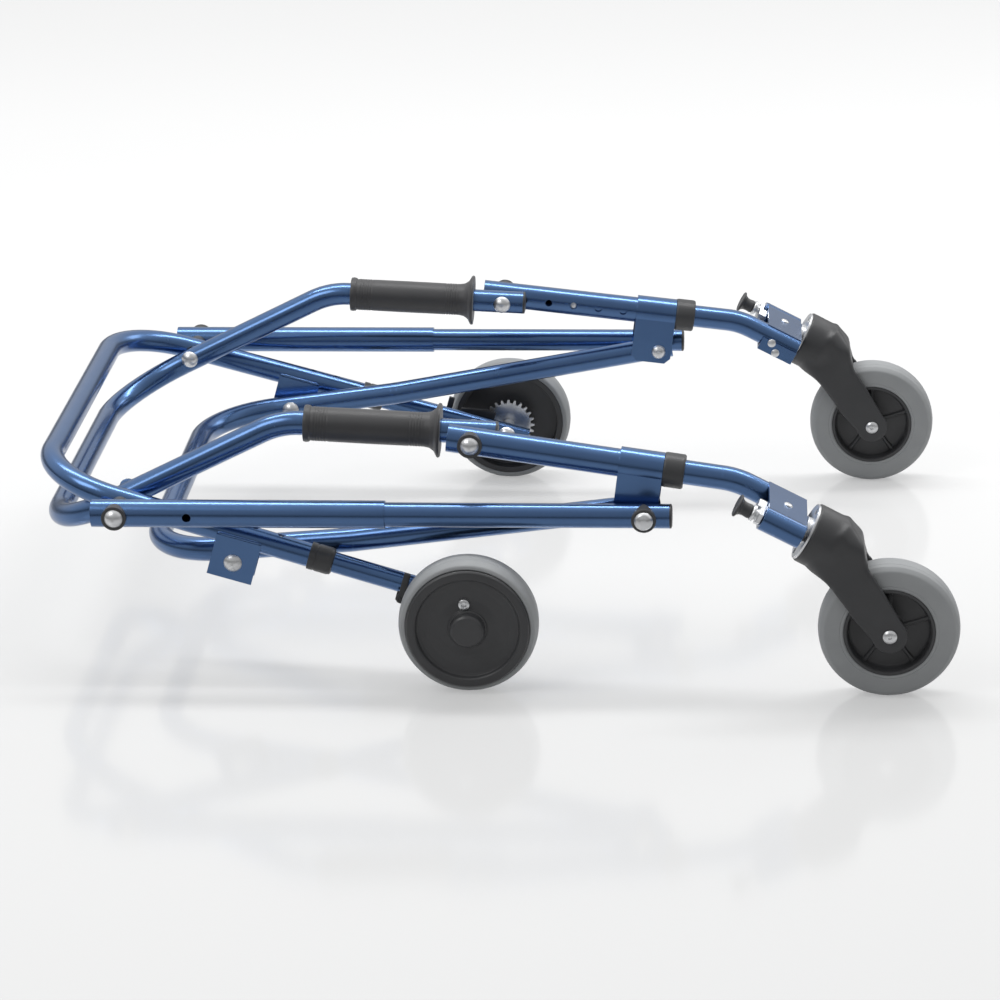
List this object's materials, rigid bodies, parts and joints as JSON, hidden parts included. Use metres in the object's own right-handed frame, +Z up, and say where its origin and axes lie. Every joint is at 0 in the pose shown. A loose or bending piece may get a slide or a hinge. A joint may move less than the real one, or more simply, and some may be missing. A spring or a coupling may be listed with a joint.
{
  "type": "folding posterior walker",
  "caption": "Folding posterior walker frame with handgrips, locking swivel casters in front and ratchet wheels at the rear, shown folded.",
  "frame": {"origin": "centre of the footprint's bounding box, on the floor under the four wheels", "axes": "+X is the walking direction, +Y the user's left, +Z up"},
  "size_m": [0.8491, 0.6392, 0.2424],
  "materials": {
    "blue_tube": "gloss, anodised",
    "grip_rubber": "matte",
    "black_plastic": "matte",
    "tyre_rubber": "matte",
    "zinc_steel": "bright"
  },
  "bodies": {
    "handles": {"handle_frame": "blue_tube", "grips": "grip_rubber", "handle_plugs": "black_plastic", "hinge_bolts": "zinc_steel", "hinge_washers": "black_plastic", "hinge_spacers": "black_plastic"},
    "rear_frame": {"rear_frame": "blue_tube", "rear_collars": "black_plastic", "link_bolts": "zinc_steel"},
    "cross_frame": {"cross_frame": "blue_tube"},
    "rear_leg_right": {"rear_leg_right": "blue_tube", "rear_axle_right": "zinc_steel", "pawl_cover_right": "black_plastic"},
    "pawl_lever_right": {"pawl_lever_right": "black_plastic"},
    "rear_button_right": {"rear_button_right": "zinc_steel"},
    "rear_wheel_right": {"rear_tyre_right": "tyre_rubber", "rear_hub_right": "black_plastic", "rear_sprocket_right": "zinc_steel"},
    "front_tube_right": {"front_tube_right": "blue_tube", "front_collar_right": "black_plastic"},
    "front_leg_right": {"front_leg_right": "blue_tube", "caster_bracket_right": "blue_tube", "lock_barrel_right": "zinc_steel"},
    "leg_button_right": {"leg_button_right": "zinc_steel"},
    "lock_knob_right": {"lock_knob_right": "black_plastic"},
    "caster_right": {"caster_fork_right": "black_plastic", "caster_stem_right": "zinc_steel", "front_axle_right": "zinc_steel"},
    "front_wheel_right": {"front_tyre_right": "tyre_rubber", "front_hub_right": "black_plastic"},
    "brace_outer_right": {"brace_outer_right": "blue_tube"},
    "brace_inner_right": {"brace_inner_right": "blue_tube", "brace_cap_right": "black_plastic", "brace_pin_right": "zinc_steel"},
    "brace_button_right": {"brace_button_right": "zinc_steel"},
    "rear_leg_left": {"rear_leg_left": "blue_tube", "rear_axle_left": "zinc_steel", "pawl_cover_left": "black_plastic"},
    "pawl_lever_left": {"pawl_lever_left": "black_plastic"},
    "rear_button_left": {"rear_button_left": "zinc_steel"},
    "rear_wheel_left": {"rear_tyre_left": "tyre_rubber", "rear_hub_left": "black_plastic", "rear_sprocket_left": "zinc_steel"},
    "front_tube_left": {"front_tube_left": "blue_tube", "front_collar_left": "black_plastic"},
    "front_leg_left": {"front_leg_left": "blue_tube", "caster_bracket_left": "blue_tube", "lock_barrel_left": "zinc_steel"},
    "leg_button_left": {"leg_button_left": "zinc_steel"},
    "lock_knob_left": {"lock_knob_left": "black_plastic"},
    "caster_left": {"caster_fork_left": "black_plastic", "caster_stem_left": "zinc_steel", "front_axle_left": "zinc_steel"},
    "front_wheel_left": {"front_tyre_left": "tyre_rubber", "front_hub_left": "black_plastic"},
    "brace_outer_left": {"brace_outer_left": "blue_tube"},
    "brace_inner_left": {"brace_inner_left": "blue_tube", "brace_cap_left": "black_plastic", "brace_pin_left": "zinc_steel"},
    "brace_button_left": {"brace_button_left": "zinc_steel"}
  },
  "joints": [
    {"name": "rear_frame_fold", "type": "hinge", "parent": "handles", "child": "rear_frame", "pos_m": [-0.333, 0, 0.156], "axis": [0, 1, 0], "range_deg": [0, 102.7]},
    {"name": "cross_frame_fold", "type": "hinge", "parent": "rear_frame", "child": "cross_frame", "pos_m": [-0.231, 0, 0.102], "axis": [0, 1, 0], "range_deg": [-91.66, 0]},
    {"name": "rear_leg_height_right", "type": "slide", "parent": "rear_frame", "child": "rear_leg_right", "axis": [0.9602, -0.0369, -0.2767], "range_m": [0, 0.05]},
    {"name": "rear_button_press_right", "type": "slide", "parent": "rear_leg_right", "child": "rear_button_right", "axis": [0.2765, -0.0106, 0.961], "range_m": [-0.002, 0], "stiffness_N_per_m": 400},
    {"name": "pawl_lever_turn_right", "type": "hinge", "parent": "rear_leg_right", "child": "pawl_lever_right", "pos_m": [-0.07657, -0.25411, 0.07256], "axis": [0.0384, 0.9993, 0], "range_deg": [-25, 0]},
    {"name": "rear_wheel_spin_right", "type": "hinge", "parent": "rear_leg_right", "child": "rear_wheel_right", "pos_m": [-0.012, -0.288, 0.0635], "axis": [0, 1, 0], "continuous": true},
    {"name": "front_tube_fold_right", "type": "hinge", "parent": "handles", "child": "front_tube_right", "pos_m": [-0.012, -0.2285, 0.216], "axis": [0, 1, 0], "range_deg": [0, 75.41]},
    {"name": "front_leg_height_right", "type": "slide", "parent": "front_tube_right", "child": "front_leg_right", "axis": [0.9907, -0.0485, -0.1271], "range_m": [-0.0254, 0.0508]},
    {"name": "leg_button_press_right", "type": "slide", "parent": "front_leg_right", "child": "leg_button_right", "axis": [0.0489, 0.9988, 0], "range_m": [-0.002, 0], "stiffness_N_per_m": 400},
    {"name": "lock_knob_pull_right", "type": "slide", "parent": "front_leg_right", "child": "lock_knob_right", "axis": [-0.8886, 0, 0.4587], "range_m": [0, 0.007], "stiffness_N_per_m": 900},
    {"name": "caster_swivel_right", "type": "hinge", "parent": "front_leg_right", "child": "caster_right", "pos_m": [0.29418, -0.288, 0.15208], "axis": [0.8886, 0, -0.4587], "continuous": true},
    {"name": "front_wheel_spin_right", "type": "hinge", "parent": "caster_right", "child": "front_wheel_right", "pos_m": [0.3655, -0.288, 0.0635], "axis": [0, 1, 0], "continuous": true},
    {"name": "brace_turn_right", "type": "hinge", "parent": "handles", "child": "brace_outer_right", "pos_m": [-0.333, -0.262, 0.156], "axis": [0, 1, 0], "range_deg": [0, 19.85]},
    {"name": "brace_slide_right", "type": "slide", "parent": "brace_outer_right", "child": "brace_inner_right", "axis": [-1, 0, -0.0031], "range_m": [0, 0.15573]},
    {"name": "brace_button_press_right", "type": "slide", "parent": "brace_inner_right", "child": "brace_button_right", "axis": [0, -1, 0], "range_m": [-0.002, 0], "stiffness_N_per_m": 400},
    {"name": "rear_leg_height_left", "type": "slide", "parent": "rear_frame", "child": "rear_leg_left", "axis": [0.9602, 0.0369, -0.2767], "range_m": [0, 0.05]},
    {"name": "rear_button_press_left", "type": "slide", "parent": "rear_leg_left", "child": "rear_button_left", "axis": [0.2765, 0.0106, 0.961], "range_m": [-0.002, 0], "stiffness_N_per_m": 400},
    {"name": "pawl_lever_turn_left", "type": "hinge", "parent": "rear_leg_left", "child": "pawl_lever_left", "pos_m": [-0.07657, 0.25411, 0.07256], "axis": [-0.0384, 0.9993, 0], "range_deg": [-25, 0]},
    {"name": "rear_wheel_spin_left", "type": "hinge", "parent": "rear_leg_left", "child": "rear_wheel_left", "pos_m": [-0.012, 0.288, 0.0635], "axis": [0, 1, 0], "continuous": true},
    {"name": "front_tube_fold_left", "type": "hinge", "parent": "handles", "child": "front_tube_left", "pos_m": [-0.012, 0.2285, 0.216], "axis": [0, 1, 0], "range_deg": [0, 75.41]},
    {"name": "front_leg_height_left", "type": "slide", "parent": "front_tube_left", "child": "front_leg_left", "axis": [0.9907, 0.0485, -0.1271], "range_m": [-0.0254, 0.0508]},
    {"name": "leg_button_press_left", "type": "slide", "parent": "front_leg_left", "child": "leg_button_left", "axis": [0.0489, -0.9988, 0], "range_m": [-0.002, 0], "stiffness_N_per_m": 400},
    {"name": "lock_knob_pull_left", "type": "slide", "parent": "front_leg_left", "child": "lock_knob_left", "axis": [-0.8886, 0, 0.4587], "range_m": [0, 0.007], "stiffness_N_per_m": 900},
    {"name": "caster_swivel_left", "type": "hinge", "parent": "front_leg_left", "child": "caster_left", "pos_m": [0.29418, 0.288, 0.15208], "axis": [0.8886, 0, -0.4587], "continuous": true},
    {"name": "front_wheel_spin_left", "type": "hinge", "parent": "caster_left", "child": "front_wheel_left", "pos_m": [0.3655, 0.288, 0.0635], "axis": [0, 1, 0], "continuous": true},
    {"name": "brace_turn_left", "type": "hinge", "parent": "handles", "child": "brace_outer_left", "pos_m": [-0.333, 0.262, 0.156], "axis": [0, 1, 0], "range_deg": [0, 19.85]},
    {"name": "brace_slide_left", "type": "slide", "parent": "brace_outer_left", "child": "brace_inner_left", "axis": [-1, 0, -0.0031], "range_m": [0, 0.15573]},
    {"name": "brace_button_press_left", "type": "slide", "parent": "brace_inner_left", "child": "brace_button_left", "axis": [0, 1, 0], "range_m": [-0.002, 0], "stiffness_N_per_m": 400}
  ],
  "couplings": [
    {"joint": "cross_frame_fold", "follows": "rear_frame_fold", "ratio": -0.8896},
    {"joint": "front_tube_fold_right", "follows": "rear_frame_fold", "ratio": 0.7313},
    {"joint": "brace_turn_right", "follows": "rear_frame_fold", "ratio": 0.1904},
    {"joint": "brace_slide_right", "follows": "rear_frame_fold", "m_per_rad": 0.086605},
    {"joint": "front_tube_fold_left", "follows": "rear_frame_fold", "ratio": 0.7313},
    {"joint": "brace_turn_left", "follows": "rear_frame_fold", "ratio": 0.1904},
    {"joint": "brace_slide_left", "follows": "rear_frame_fold", "m_per_rad": 0.086605}
  ]
}
